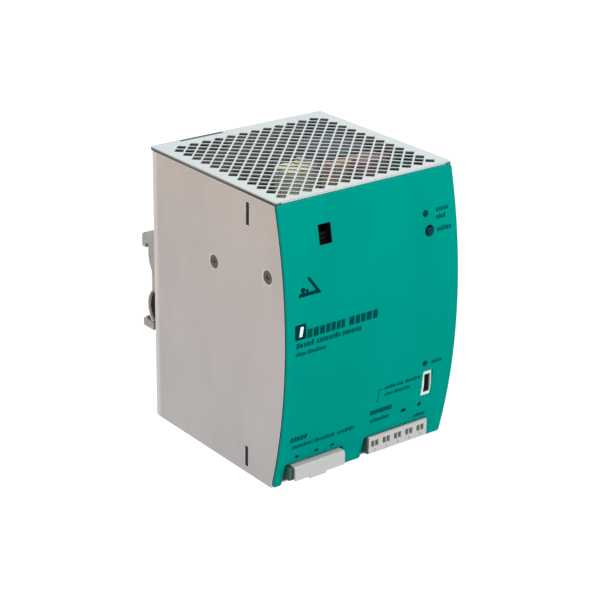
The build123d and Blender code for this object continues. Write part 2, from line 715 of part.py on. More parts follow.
def make_jumper_pins():
    """Three square pins through the well's floor."""
    return group([block(JUMPER_X - 0.32, JUMPER_X + 0.32, -3.4, BOARD_FRONT, z - 0.32, z + 0.32)
                  for z in JUMPER_PINS_Z])


def make_mode_jumper():
    """Pull-off jumper cap with its pin bores and a ribbed grip."""
    x0, x1, z0, z1 = JUMPER_WELL
    front = front_y((z0 + z1) / 2) + 0.9
    cap = block(x0 + 1.3, x1 - 0.7, front, -1.2, z0 + 1.7, z1 - 2.1)
    for z in JUMPER_PINS_Z:
        cap -= block(JUMPER_X - 0.42, JUMPER_X + 0.42, -3.6, 0, z - 0.42, z + 0.42)
    for i in range(4):
        z = z0 + 3.0 + 1.6 * i
        cap -= block(x0, x1, front - 1, front + 0.25, z, z + 0.5)
    return cap


# ---------------------------------------------------------------- terminals

PLUG_Z = (4.1, 10.3)
OUTPUT_PLUG_Z = (3.35, 10.95)
BLADE_Z = (6.0, 7.0)
PLUG_BACK = 12.6
PLUG_NECK_X = (9.0, 30.4)
PIN_Y = 10.2
CAVITY_FRONT = 2.0


def terminal_socket(x0, x1, pocket_x0, pocket_x1, poles):
    """Fixed socket behind a notch, open to the front, with its pins' bores."""
    top = TERMINAL_BOARD_Z
    body = block(x0, x1, SOCKET_FRONT, SOCKET_BACK, SOCKET_FOOT, top)
    body -= block(pocket_x0, pocket_x1, SOCKET_FRONT - 1, PLUG_BACK + 0.4, *POCKET_Z)
    for x in poles:
        body -= contact_pin(x)
    return body


def contact_pin(x):
    """Bent contact: a blade into the plug and a leg up to the terminal board."""
    z0, z1 = BLADE_Z
    blade = block(x - 0.5, x + 0.5, PIN_Y, SOCKET_BACK + 1.2, z0, z1)
    return blade + block(x - 0.5, x + 0.5, SOCKET_BACK + 0.2, SOCKET_BACK + 1.2, z0, TERMINAL_BOARD_Z)


def clamp_cage(x, half, bottom, top):
    """Metal clamp for one wire, open at its front and back."""
    cage = block(x - half, x + half, CAVITY_FRONT + 0.3, 9.6, bottom, top)
    return cage - block(x - half + 0.5, x + half - 0.5, 0, 12, bottom + 0.5, top - 0.5)


def make_input_plug():
    """Three-pole plug: hooded slab with a rounded lock tab, a neck, and a body in its socket."""
    z0, z1 = PLUG_Z
    slab = block(6.8, 32.6, -6.0, -4.9, z0, z1)
    top_front = slab.edges().filter_by(Axis.X).group_by(Axis.Z)[-1].sort_by(Axis.Y)[:1]
    slab = chamfer(top_front, 0.8)
    plug = slab + block(6.8, 32.6, -5.0, -1.4, z1 - 1.0, z1)
    plug += block(*PLUG_NECK_X, -5.0, -0.9, z0 + 0.4, z1 - 0.1)
    plug += block(7.0, 32.4, -1.0, PLUG_BACK, z0 - 0.2, z1 - 0.1)
    tab = block(14.2, 22.8, -6.1, -5.2, z0 - 0.85, z0 + 2.6)
    tab = fillet(tab.edges().filter_by(Axis.Y).group_by(Axis.Z)[-1], 1.6)
    plug += tab
    for x in INPUT_POLES:
        plug -= block(x - 2.0, x + 2.0, -2.8, -0.4, 1, z0 + 2)
        plug -= block(x - 2.6, x + 2.6, CAVITY_FRONT, PLUG_BACK + 1, z0 + 0.6, z1 - 0.8)
        plug -= block(x - 1.4, x + 1.4, -2.6, CAVITY_FRONT + 1, z0 + 1.2, z1 - 1.6)
    return plug


def make_plug_levers():
    """Dark release levers under the hood at each end of the input plug, each with a finger groove."""
    levers = []
    for x0, x1 in ((7.0, PLUG_NECK_X[0] - 0.2), (PLUG_NECK_X[1] + 0.2, 32.4)):
        lever = block(x0, x1, -4.8, -1.1, PLUG_Z[0] + 0.2, PLUG_Z[1] - 1.1)
        outer = x0 if x0 < WIDTH / 4 else x1
        levers.append(lever - block(outer - 0.8, outer + 0.8, -3.5, -2.4, 0, TERMINAL_BOARD_Z))
    return group(levers)


def make_input_clamps():
    """Wire clamps inside the input plug."""
    return group([clamp_cage(x, 2.5, PLUG_Z[0] + 0.7, PLUG_Z[1] - 0.9) for x in INPUT_POLES])


def make_output_plug():
    """Five-pole plug: two openings for each pole over a row of shallow dimples."""
    front = -4.0
    z0, z1 = OUTPUT_PLUG_Z
    plug = block(47.1, 79.2, front, -2.8, z0, z1)
    plug += block(47.6, 78.4, -2.9, PLUG_BACK, z0 + 0.2, z1 - 1.1)
    for x in OUTPUT_POLES:
        for side in (-1.1, 1.1):
            plug -= block(x + side - 0.9, x + side + 0.9, front - 1, CAVITY_FRONT + 1, z0 + 2.9, z0 + 5.8)
        plug -= block(x - 2.5, x + 2.5, CAVITY_FRONT, PLUG_BACK + 1, z0 + 1.1, z0 + 6.0)
        plug -= rod_y(x, front - 1, front + 0.3, z0 + 1.4, 0.7)
    return plug


def make_output_clamps():
    """Wire clamps inside the output plug."""
    z0 = OUTPUT_PLUG_Z[0]
    return group([clamp_cage(x, 2.4, z0 + 1.2, z0 + 5.9) for x in OUTPUT_POLES])


# ---------------------------------------------------------------- build

NODES = {
    "chassis": make_chassis,
    "top_cover": make_top_cover,
    "bottom_cover": make_bottom_cover,
    "cover_clips": make_cover_clips,
    "cover_catch": make_cover_catch,
    "front_panel": make_front_panel,
    "insulation_liner": make_insulation_liner,
    "side_screws": make_side_screws,
    "board_screws": make_board_screws,
    "rail_bracket": make_rail_bracket,
    "rail_latch": make_rail_latch,
    "latch_springs": make_latch_springs,
    "spring_buffers": make_spring_buffers,
    "spring_rivets": make_spring_rivets,
    "bracket_screws": make_bracket_screws,
    "main_pcb": make_main_pcb,
    "board_spacers": make_board_spacers,
    "heatsink": make_heatsink,
    "power_transistors": make_power_transistors,
    "transistor_clip": make_transistor_clip,
    "bridge_rectifier": make_bridge_rectifier,
    "bulk_capacitors": make_bulk_capacitors,
    "output_capacitors": make_output_capacitors,
    "input_choke_core": lambda: toroid_core(*INPUT_CHOKE),
    "input_choke_winding": lambda: toroid_winding(*INPUT_CHOKE, 0.6, 18),
    "output_choke_core": lambda: toroid_core(*OUTPUT_CHOKE),
    "output_choke_winding": lambda: toroid_winding(*OUTPUT_CHOKE, 0.7, 12),
    "transformer_core": make_transformer_core,
    "transformer_bobbin": make_transformer_bobbin,
    "transformer_tape": make_transformer_tape,
    "filter_capacitor_large": lambda: film_capacitor(57, 37.9, 43.6, 105, 118),
    "filter_capacitor_small": lambda: film_capacitor(68, 31, 37.5, 111, 119),
    "filter_capacitor_tall": lambda: film_capacitor(62, 70, 79, 86, 102),
    "varistor": make_varistor,
    "fuse": make_fuse,
    "fuse_clips": make_fuse_clips,
    "terminal_pcb": make_terminal_pcb,
    "board_connectors": make_board_connectors,
    "control_pcb": make_control_pcb,
    "control_bracket": make_board_bracket,
    "control_chips": make_control_chips,
    "overload_lamp": lambda: panel_lamp(*OVERLOAD_LED, -0.3),
    "output_lamp": lambda: panel_lamp(*OUTPUT_LED, 0.6),
    "reset_button": make_reset_button,
    "reset_switch": make_reset_switch,
    "reset_spring": make_reset_spring,
    "selector_body": make_selector_body,
    "selector_slider": make_selector_slider,
    "jumper_header": make_jumper_header,
    "jumper_pins": make_jumper_pins,
    "mode_jumper": make_mode_jumper,
    "input_header": lambda: terminal_socket(4.5, 34.2, 6.6, 32.8, INPUT_POLES),
    "input_pins": lambda: group([contact_pin(x) for x in INPUT_POLES]),
    "input_plug": make_input_plug,
    "plug_levers": make_plug_levers,
    "input_clamps": make_input_clamps,
    "output_header": lambda: terminal_socket(46.2, 80.1, 47.2, 78.8, OUTPUT_POLES),
    "output_pins": lambda: group([contact_pin(x) for x in OUTPUT_POLES]),
    "output_plug": make_output_plug,
    "output_clamps": make_output_clamps,
}

os.makedirs("parts", exist_ok=True)
for node_name, make in NODES.items():
    save(node_name, make())
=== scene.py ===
import json
import math
import random

import bmesh
import bpy
from mathutils import Matrix, Vector


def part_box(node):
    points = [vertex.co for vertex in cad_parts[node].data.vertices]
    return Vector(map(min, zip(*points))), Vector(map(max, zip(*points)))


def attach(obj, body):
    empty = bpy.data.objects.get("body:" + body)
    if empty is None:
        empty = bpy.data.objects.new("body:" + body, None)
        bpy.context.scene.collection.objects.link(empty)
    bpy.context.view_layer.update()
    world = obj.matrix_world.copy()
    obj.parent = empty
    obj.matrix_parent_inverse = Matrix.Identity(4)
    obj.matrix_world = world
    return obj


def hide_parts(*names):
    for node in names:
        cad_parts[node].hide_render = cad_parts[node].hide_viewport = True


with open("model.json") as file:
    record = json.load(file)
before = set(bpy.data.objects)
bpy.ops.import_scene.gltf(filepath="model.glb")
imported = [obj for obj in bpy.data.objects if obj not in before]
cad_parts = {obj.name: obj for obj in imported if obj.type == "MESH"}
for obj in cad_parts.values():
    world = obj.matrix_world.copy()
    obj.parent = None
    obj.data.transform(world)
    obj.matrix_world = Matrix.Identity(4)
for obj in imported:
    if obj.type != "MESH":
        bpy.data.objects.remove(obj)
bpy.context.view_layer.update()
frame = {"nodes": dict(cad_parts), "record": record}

# A rail-mounted power supply. Lengths are metres in the row frame unless a name ends in _MM.
MM = 0.001

# The case, measured from its left face, the chord of its curved front and the ground.
case_low, case_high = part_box("chassis")
top_low, top_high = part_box("top_cover")
panel_low, panel_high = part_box("front_panel")
CASE_DEPTH_MM = 87.0
BULGE_MM = 8.2
PANEL_THICK_MM = 2.2
PANEL_LIP_MM = 1.1
WALL_MM = 1.6
HEIGHT_MM = top_high.z / MM
WIDTH_MM = (case_high.x - case_low.x) / MM
LEFT = case_low.x
FRONT = case_high.y - CASE_DEPTH_MM * MM
ARC_R_MM = (HEIGHT_MM**2 / 4 + BULGE_MM**2) / (2 * BULGE_MM)
ARC_BACK_MM = ARC_R_MM - BULGE_MM

record = frame["record"]
BODY_OF = {node: body for body, nodes in record["behaviour"]["bodies"].items() for node in nodes}
SLOT_OF = {part["node"]: part["material_slot"] for part in record["subparts"]}


# ---------------------------------------------------------------- places


def place(x, y, z):
    """Row-frame point for millimetres from the case's left face, front chord and foot."""
    return Vector((LEFT + x * MM, FRONT + y * MM, z * MM))


def centre_mm(node):
    """A node's middle as millimetres from the case's left face and foot."""
    low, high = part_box(node)
    middle = (low + high) / 2
    return (middle.x - LEFT) / MM, middle.z / MM


def front_y(z, depth=0.0):
    """Depth coordinate of the curved front at a height, in millimetres; depth is measured inwards."""
    return ARC_BACK_MM - math.sqrt((ARC_R_MM - depth) ** 2 - (z - HEIGHT_MM / 2) ** 2)


# ---------------------------------------------------------------- mesh helpers

JOIN_MM = 0.003
FLAT_DEGREES = 0.4
CREASE_DEGREES = 35
CIRCLE_STEPS = 28
STRIP_MM = 2.0  # short enough that flat strips follow the curved front


def add_object(name, data):
    """New object for a mesh, a curve, a light or a camera, in the scene."""
    obj = bpy.data.objects.new(name, data)
    bpy.context.scene.collection.objects.link(obj)
    return obj


def from_bmesh(name, bm):
    """New smooth-shaded object for a bmesh."""
    mesh = bpy.data.meshes.new(name)
    bm.to_mesh(mesh)
    bm.free()
    for face in mesh.polygons:
        face.use_smooth = True
    return add_object(name, mesh)


def cad_bmesh(node):
    """A CAD node's mesh with its split corners joined and its flat faces whole."""
    bm = bmesh.new()
    bm.from_mesh(frame["nodes"][node].data)
    bmesh.ops.remove_doubles(bm, verts=bm.verts, dist=JOIN_MM * MM)
    flat = math.radians(FLAT_DEGREES)
    bmesh.ops.dissolve_limit(
        bm, angle_limit=flat, verts=bm.verts, edges=bm.edges, use_dissolve_boundaries=False
    )
    return bm


def weigh_normals(obj):
    """Keeps large flat faces flat next to small rounded ones."""
    weighted = obj.modifiers.new("weigh_normals", "WEIGHTED_NORMAL")
    weighted.weight = 100


def round_edges(obj, width_mm):
    """Small rounded edges where faces meet at a crease."""
    bevel = obj.modifiers.new("round_edges", "BEVEL")
    bevel.width = width_mm * MM
    bevel.segments = 2
    bevel.limit_method = "ANGLE"
    bevel.angle_limit = math.radians(CREASE_DEGREES)
    bevel.miter_outer = "MITER_ARC"
    weigh_normals(obj)


def refine(node, width_mm):
    """Stands for a CAD node with the same shape and rounded edges."""
    obj = from_bmesh(node + "_shape", cad_bmesh(node))
    round_edges(obj, width_mm)
    stand_for(obj, node)


def stand_for(obj, node):
    """obj takes a node's body, slot and material, and the node is hidden."""
    obj.data.materials.clear()
    obj.data.materials.append(MATERIALS[SLOT_OF[node]])
    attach(obj, BODY_OF[node])
    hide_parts(node)


def rounded(points, radius, steps=4):
    """An outline with each corner turned by an arc of the radius."""
    out = []
    count = len(points)
    for i, point in enumerate(points):
        here = Vector(point)
        before = (Vector(points[i - 1]) - here).normalized()
        after = (Vector(points[(i + 1) % count]) - here).normalized()
        half = before.angle(after) / 2
        reach = radius / math.tan(half)
        start, end = here + before * reach, here + after * reach
        middle = here + (before + after).normalized() * (radius / math.sin(half))
        for k in range(steps + 1):
            on_chord = start.lerp(end, k / steps)
            out.append(tuple(middle + (on_chord - middle).normalized() * radius))
    return out


def rectangle(x0, x1, z0, z1, radius=0.3):
    """Rounded rectangle outline."""
    return rounded([(x0, z0), (x1, z0), (x1, z1), (x0, z1)], radius, 3)


def circle(x, z, radius):
    """Circle outline."""
    turn = [2 * math.pi * k / CIRCLE_STEPS for k in range(CIRCLE_STEPS)]
    return [(x + radius * math.cos(a), z + radius * math.sin(a)) for a in turn]


def slab_mesh(loops, thick, bevel):
    """Plate in the X Y plane, from -thick / 2 to thick / 2, with holes where loops lie in the first one."""
    curve = bpy.data.curves.new("slab", "CURVE")
    curve.dimensions = "2D"
    curve.fill_mode = "BOTH"
    curve.extrude = thick / 2 - bevel
    curve.bevel_depth = bevel
    curve.bevel_resolution = 1
    curve.offset = -bevel
    for points in loops:
        spline = curve.splines.new("POLY")
        spline.points.add(len(points) - 1)
        for target, (x, y) in zip(spline.points, points):
            target.co = (x, y, 0, 1)
        spline.use_cyclic_u = True
    obj = add_object("slab", curve)
    graph = bpy.context.evaluated_depsgraph_get()
    mesh = bpy.data.meshes.new_from_object(obj.evaluated_get(graph))
    bpy.data.objects.remove(obj)
    bpy.data.curves.remove(curve)
    return mesh


def slab_bmesh(loops, thick, bevel=0.0, strip=0.0):
    """The plate as a bmesh; a strip height cuts it across Y so that it can follow a curve."""
    mesh = slab_mesh(loops, thick, bevel)
    bm = bmesh.new()
    bm.from_mesh(mesh)
    bpy.data.meshes.remove(mesh)
    bmesh.ops.remove_doubles(bm, verts=bm.verts, dist=0.0005)
    if strip:
        low = min(v.co.y for v in bm.verts)
        high = max(v.co.y for v in bm.verts)
        cut = math.ceil(low / strip) * strip
        while cut < high:
            geometry = bm.verts[:] + bm.edges[:] + bm.faces[:]
            bmesh.ops.bisect_plane(bm, geom=geometry, dist=0.0001, plane_co=(0, cut, 0), plane_no=(0, 1, 0))
            cut += strip
    return bm


def wrap_on_front(bm, thick, lift=0.0):
    """Bends a slab drawn as X across and Y up on to the curved front, its outer face lifted by lift."""
    for vertex in bm.verts:
        x, z, out = vertex.co
        depth = thick / 2 - out - lift
        vertex.co = place(x, front_y(z, depth), z)
    bmesh.ops.recalc_face_normals(bm, faces=bm.faces)


def add_box(bm, x0, x1, y0, y1, z0, z1):
    """Adds a box between two corners, in millimetres of the case."""
    low, high = place(x0, y0, z0), place(x1, y1, z1)
    made = bmesh.ops.create_cube(bm, size=1)["verts"]
    size = high - low
    bmesh.ops.transform(bm, matrix=Matrix.Diagonal((*size, 1)), verts=made)
    bmesh.ops.translate(bm, vec=(low + high) / 2, verts=made)


def join_bmesh(target, other):
    """Adds another bmesh to one and frees it."""
    spare = bpy.data.meshes.new("spare")
    other.to_mesh(spare)
    other.free()
    target.from_mesh(spare)
    bpy.data.meshes.remove(spare)


# ---------------------------------------------------------------- materials


def linear(red, green, blue):
    """Linear colour of an 8-bit sRGB one, with full alpha."""
    channels = []
    for value in (red, green, blue):
        value /= 255
        channels.append(value / 12.92 if value <= 0.04045 else ((value + 0.055) / 1.055) ** 2.4)
    return (*channels, 1.0)


def scaled(colour, factor, lift=0.0):
    """A linear colour multiplied and lifted, no channel above 1, with full alpha."""
    return (*(min(1.0, channel * factor + lift) for channel in colour[:3]), 1.0)


class Finish:
    """Builds one node material around a Principled shader."""

    def __init__(self, name, **sockets):
        self.material = bpy.data.materials.new(name)
        self.material.use_nodes = True
        self.tree = self.material.node_tree
        self.tree.nodes.clear()
        output = self.node("ShaderNodeOutputMaterial")
        self.shader = self.node("ShaderNodeBsdfPrincipled")
        self.link(self.shader.outputs["BSDF"], output.inputs["Surface"])
        for key, value in sockets.items():
            self.shader.inputs[key.replace("_", " ")].default_value = value
        self.coordinates = self.node("ShaderNodeTexCoord").outputs["Object"]

    def node(self, kind, **properties):
        made = self.tree.nodes.new(kind)
        for key, value in properties.items():
            setattr(made, key, value)
        return made

    def link(self, source, target):
        self.tree.links.new(source, target)

    def feed(self, value, target):
        """Links an output or sets a number or colour."""
        if isinstance(value, bpy.types.NodeSocket):
            self.link(value, target)
        else:
            target.default_value = value

    def stretched(self, stretch):
        """Object coordinates in millimetres, multiplied along each axis."""
        mapping = self.node("ShaderNodeMapping")
        mapping.inputs["Scale"].default_value = [factor / MM for factor in stretch]
        self.link(self.coordinates, mapping.inputs["Vector"])
        return mapping.outputs["Vector"]

    def parts(self, vector):
        """X, Y and Z outputs of a vector."""
        made = self.node("ShaderNodeSeparateXYZ")
        self.link(vector, made.inputs[0])
        return made.outputs

    def facing(self):
        """X, Y and Z outputs of the surface's normal."""
        return self.parts(self.node("ShaderNodeNewGeometry").outputs["Normal"])

    def noise(self, size, detail=3.0, stretch=(1, 1, 1), distortion=0.0):
        """Noise with features about size millimetres across."""
        made = self.node("ShaderNodeTexNoise")
        self.link(self.stretched([factor / size for factor in stretch]), made.inputs["Vector"])
        made.inputs["Scale"].default_value = 1.0
        made.inputs["Detail"].default_value = detail
        made.inputs["Distortion"].default_value = distortion
        return made.outputs["Fac"]

    def cells(self, size, output="Distance"):
        """Voronoi cells about size millimetres across."""
        made = self.node("ShaderNodeTexVoronoi", feature="F1")
        self.link(self.stretched([1 / size] * 3), made.inputs["Vector"])
        made.inputs["Scale"].default_value = 1.0
        return made.outputs[output]

    def waves(self, size, axis, distortion=0.0):
        """Bands along an axis, about 0.63 of size millimetres apart."""
        made = self.node("ShaderNodeTexWave", bands_direction=axis)
        self.link(self.stretched([1 / size] * 3), made.inputs["Vector"])
        made.inputs["Scale"].default_value = 0.5
        made.inputs["Distortion"].default_value = distortion
        return made.outputs["Fac"]

    def ramp(self, factor, low, high, start=0.0, end=1.0):
        """Two numbers, colours or colour outputs blended between two levels of a factor."""
        made = self.node("ShaderNodeMapRange")
        self.link(factor, made.inputs["Value"])
        made.inputs["From Min"].default_value = start
        made.inputs["From Max"].default_value = end
        if not isinstance(low, float):
            return self.mix(made.outputs["Result"], low, high)
        made.inputs["To Min"].default_value = low
        made.inputs["To Max"].default_value = high
        return made.outputs["Result"]

    def multiply(self, base, other):
        """Two colours multiplied."""
        return self.mix(1.0, base, other, "MULTIPLY")

    def shade(self, base, level):
        """A colour darkened by a level."""
        return self.multiply(base, (level, level, level, 1.0))

    def mix(self, factor, low, high, blend="MIX"):
        """Mixes two colours."""
        made = self.node("ShaderNodeMix", data_type="RGBA", blend_type=blend)
        self.feed(factor, made.inputs[0])
        self.feed(low, made.inputs[6])
        self.feed(high, made.inputs[7])
        return made.outputs[2]

    def math(self, operation, first, second):
        """Arithmetic on two values."""
        made = self.node("ShaderNodeMath", operation=operation)
        self.feed(first, made.inputs[0])
        self.feed(second, made.inputs[1])
        return made.outputs[0]

    def edge(self, radius_mm, gain):
        """1 on rounded edges and corners, 0 on flat faces."""
        soft = self.node("ShaderNodeBevel", samples=4)
        soft.inputs["Radius"].default_value = radius_mm * MM
        sharp = self.node("ShaderNodeNewGeometry").outputs["Normal"]
        made = self.node("ShaderNodeVectorMath", operation="DOT_PRODUCT")
        self.link(soft.outputs["Normal"], made.inputs[0])
        self.link(sharp, made.inputs[1])
        apart = self.math("SUBTRACT", 1.0, made.outputs["Value"])
        grown = self.node("ShaderNodeMath", operation="MULTIPLY", use_clamp=True)
        self.link(apart, grown.inputs[0])
        grown.inputs[1].default_value = gain
        return grown.outputs[0]

    def colour(self, value):
        self.feed(value, self.shader.inputs["Base Color"])

    def roughness(self, value):
        self.feed(value, self.shader.inputs["Roughness"])

    def bump(self, *layers):
        """Stacks bump layers, each a height, its depth in millimetres and its strength."""
        below = None
        for height, depth_mm, strength in layers:
            made = self.node("ShaderNodeBump")
            made.inputs["Distance"].default_value = depth_mm * MM
            made.inputs["Strength"].default_value = strength
            self.link(height, made.inputs["Height"])
            if below:
                self.link(below, made.inputs["Normal"])
            below = made.outputs["Normal"]
        self.link(below, self.shader.inputs["Normal"])


BEND_MM = (5.0, 3.0)  # from the back: where the bend's painted highlight starts, and where it is full
BEND_HIGHLIGHT_STRENGTH = 0.55
RING_HIGHLIGHT_MM = (0.25, 0.6)  # past a countersink's radius: how far its painted highlight ring is full, and where it ends
RING_HIGHLIGHT_STRENGTH = 0.55


def with_bend_highlight(finish, base, back_mm):
    """Painted highlight: a paler strip on the side faces, where the sheet turns to the back."""
    along = finish.parts(finish.stretched((1, 1, 1)))["Y"]
    near = finish.ramp(along, 0.0, BEND_HIGHLIGHT_STRENGTH, back_mm - BEND_MM[0], back_mm - BEND_MM[1])
    sideways = finish.math("ABSOLUTE", finish.facing()["X"], 0.0)
    bend_highlight_mask = finish.math("MULTIPLY", near, finish.ramp(sideways, 0.0, 1.0, 0.1, 0.6))
    return finish.mix(bend_highlight_mask, base, linear(208, 204, 200))


def with_ring_highlight(finish, base, y, z, radius):
    """Painted highlight: a pale ring around a countersink in the left wall."""
    apart = finish.node("ShaderNodeVectorMath", operation="DISTANCE")
    finish.link(finish.stretched((1, 1, 1)), apart.inputs[0])
    apart.inputs[1].default_value = (LEFT / MM, y, z)
    full, gone = radius + RING_HIGHLIGHT_MM[0], radius + RING_HIGHLIGHT_MM[1]
    ring = finish.ramp(apart.outputs["Value"], RING_HIGHLIGHT_STRENGTH, 0.0, full, gone)
    return finish.mix(ring, base, linear(226, 220, 212))


def sheet_aluminium(name, top_painted_light, foot_painted_shade, sinks=(), back_mm=None):
    """Rolled sheet: fine grain along Z, soft clouds, painted light from a darker foot to a lighter top,
    painted highlights on the edges, maybe a painted highlight on a bend and painted highlight rings round
    countersinks.
    """
    finish = Finish(name, Metallic=0.85)
    grain = finish.noise(0.5, 5, (1, 1, 0.03))
    cloud = finish.noise(26, 3, (1, 1, 0.6), 0.6)
    height = finish.parts(finish.stretched((1, 1, 1 / HEIGHT_MM)))["Z"]
    # Painted light and shade: lighter and warmer towards the top, darker and cooler towards the foot.
    base = finish.ramp(height, foot_painted_shade, top_painted_light, 0.25, 1.0)
    shade = finish.ramp(cloud, linear(246, 246, 247), linear(255, 255, 255), 0.3, 0.7)
    fine = finish.ramp(grain, linear(240, 240, 240), linear(255, 255, 255), 0.3, 0.7)
    base = finish.multiply(finish.multiply(base, shade), fine)
    if back_mm is not None:
        base = with_bend_highlight(finish, base, back_mm)
    for y, z, radius in sinks:
        base = with_ring_highlight(finish, base, y, z, radius)
    # Painted highlight: rounded edges mixed to a pale colour.
    finish.colour(finish.mix(finish.edge(0.35, 5.0), base, linear(240, 236, 230)))
    finish.roughness(finish.ramp(grain, 0.36, 0.52, 0.3, 0.7))
    finish.bump((cloud, 0.3, 0.05), (grain, 0.02, 0.25))
    return finish.material


HOLE_SIDE_PAINTED_SHADE = 0.5


def coated_sheet(name, colour):
    """Satin coating over punched sheet: a faint orange-peel surface and darker sides to the holes, partly
    bare cut metal and partly painted shade inside the holes.
    """
    finish = Finish(name, Metallic=0.15)
    peel = finish.noise(0.7, 3)
    cloud = finish.noise(18, 2)
    base = finish.ramp(cloud, colour, scaled(colour, 0.93), 0.3, 0.75)
    facing = finish.facing()
    across, along, up = (finish.math("ABSOLUTE", facing[axis], 0.0) for axis in "XYZ")
    outer = finish.math("GREATER_THAN", finish.math("MAXIMUM", across, along), 0.9)
    coated = finish.math("MAXIMUM", up, outer)
    # Darker sides to the holes: partly bare cut metal, partly painted shade inside the holes.
    finish.colour(finish.ramp(coated, finish.shade(base, HOLE_SIDE_PAINTED_SHADE), base, 0.25, 0.6))
    finish.roughness(finish.ramp(cloud, 0.38, 0.5, 0.3, 0.7))
    finish.bump((peel, 0.02, 0.3))
    return finish.material


def moulded(name, colour, rough, grain_mm=0.25, grain=0.2, specular=0.4, wear_and_sheen=0.12):
    """Injection-moulded plastic: fine texture, slight flow clouds, paler edges that are partly wear and
    partly a painted highlight.
    """
    finish = Finish(name, Specular_IOR_Level=specular)
    fine = finish.noise(grain_mm, 2)
    flow = finish.noise(30, 2, (1, 1, 0.5), 0.8)
    base = finish.ramp(flow, scaled(colour, 0.93), colour, 0.3, 0.7)
    # Paler edges: partly edge wear, partly a painted highlight where edges catch the light.
    pale = scaled(colour, 1 + 0.6 * wear_and_sheen, 0.1 * wear_and_sheen)
    finish.colour(finish.mix(finish.edge(0.3, 3.0), base, pale))
    finish.roughness(finish.ramp(fine, rough - 0.05, rough + 0.06, 0.3, 0.7))
    finish.bump((fine, 0.02, grain), (flow, 0.2, 0.03))
    return finish.material


def unlit_lens(name, colour, wear_and_sheen):
    """Lamp lens that isn't lit: smooth, dull plastic with paler edges, partly wear and partly a painted
    highlight.
    """
    return moulded(name, colour, 0.35, grain_mm=0.3, grain=0.1, specular=0.0, wear_and_sheen=wear_and_sheen)


def plated_steel(name, colour, metal, rough, edges=linear(236, 236, 236)):
    """Zinc-plated or bright steel: small cloudy crystals, handling marks, and edges in a colour of their
    own: a painted highlight when pale, painted shade when dark.
    """
    finish = Finish(name, Metallic=metal)
    crystal = finish.cells(1.6, output="Color")
    spangle = finish.node("ShaderNodeSeparateColor")
    finish.link(crystal, spangle.inputs[0])
    cloud = finish.noise(7, 4)
    scuff = finish.noise(0.3, 3, (1, 0.1, 1))
    base = finish.ramp(spangle.outputs[0], scaled(colour, 0.86), colour)
    base = finish.mix(finish.ramp(cloud, 0.0, 0.35, 0.45, 0.7), base, scaled(colour, 0.72))
    # Painted highlight or painted shade on the edges, in the edges colour.
    finish.colour(finish.mix(finish.edge(0.3, 4.0), base, edges))
    finish.roughness(finish.ramp(cloud, rough - 0.06, rough + 0.14, 0.35, 0.7))
    finish.bump((scuff, 0.01, 0.25), (cloud, 0.05, 0.1))
    return finish.material


def circuit_board():
    """Green solder mask with lighter traces and rows of tinned pads."""
    finish = Finish("circuit_board", Specular_IOR_Level=0.5)
    brick = finish.node("ShaderNodeTexBrick")
    finish.link(finish.stretched((0.5, 0.5, 0.4)), brick.inputs["Vector"])
    brick.inputs["Scale"].default_value = 0.45
    brick.inputs["Mortar Size"].default_value = 0.03
    pads = finish.cells(2.54)
    mask = finish.ramp(brick.outputs["Fac"], linear(22, 92, 60), linear(44, 128, 84), 0.0, 1.0)
    spot = finish.ramp(pads, 1.0, 0.0, 0.16, 0.2)
    finish.colour(finish.mix(spot, mask, linear(196, 190, 172)))
    finish.roughness(finish.ramp(pads, 0.22, 0.4, 0.1, 0.3))
    finish.bump((brick.outputs["Fac"], 0.05, 0.4), (spot, 0.1, 0.3))
    return finish.material


def wound_wire():
    """Enamelled copper wire."""
    finish = Finish("wound_wire", Metallic=0.8, Coat_Weight=0.6, Coat_Roughness=0.12)
    streak = finish.noise(0.8, 3, (0.3, 1, 1))
    finish.colour(finish.ramp(streak, linear(150, 74, 34), linear(206, 122, 62), 0.3, 0.7))
    finish.roughness(finish.ramp(streak, 0.22, 0.36, 0.3, 0.7))
    finish.bump((streak, 0.02, 0.3))
    return finish.material


def wound_tape():
    """Yellow polyester tape in overlapping layers."""
    finish = Finish("wound_tape", Specular_IOR_Level=0.6)
    layer = finish.waves(3.4, "Z", 0.15)
    wrinkle = finish.noise(1.4, 3, (1, 1, 2.5))
    base = finish.ramp(layer, linear(240, 234, 184), linear(250, 248, 222), 0.1, 0.6)
    finish.colour(finish.mix(finish.ramp(wrinkle, 0.0, 0.25, 0.5, 0.8), base, linear(222, 210, 146)))
    finish.roughness(finish.ramp(wrinkle, 0.25, 0.42, 0.3, 0.7))
    finish.bump((layer, 0.08, 0.5), (wrinkle, 0.05, 0.3))
    return finish.material


def capacitor_sleeve():
    """Dark shrink sleeve with thin pale bands at even heights."""
    finish = Finish("capacitor_sleeve", Specular_IOR_Level=0.5)
    stripe = finish.waves(15, "Z")
    wrinkle = finish.noise(1.8, 3)
    base = finish.ramp(wrinkle, linear(50, 58, 70), linear(68, 78, 90), 0.3, 0.7)
    finish.colour(finish.mix(finish.ramp(stripe, 0.0, 1.0, 0.95, 0.97), base, linear(176, 180, 190)))
    finish.roughness(finish.ramp(wrinkle, 0.24, 0.4, 0.3, 0.7))
    finish.bump((wrinkle, 0.06, 0.25))
    return finish.material


def sintered(name, colour, speckle):
    """Pressed ferrite or iron powder: matt, finely speckled, with chalky edges."""
    finish = Finish(name, Specular_IOR_Level=0.3)
    speck = finish.cells(0.5)
    cloud = finish.noise(5, 3)
    base = finish.ramp(speck, speckle, colour, 0.1, 0.35)
    base = finish.mix(finish.ramp(cloud, 0.0, 0.4, 0.4, 0.7), base, speckle)
    finish.colour(finish.mix(finish.edge(0.3, 3.0), base, linear(120, 120, 122)))
    finish.roughness(finish.ramp(cloud, 0.6, 0.8, 0.3, 0.7))
    finish.bump((speck, 0.05, 0.4))
    return finish.material


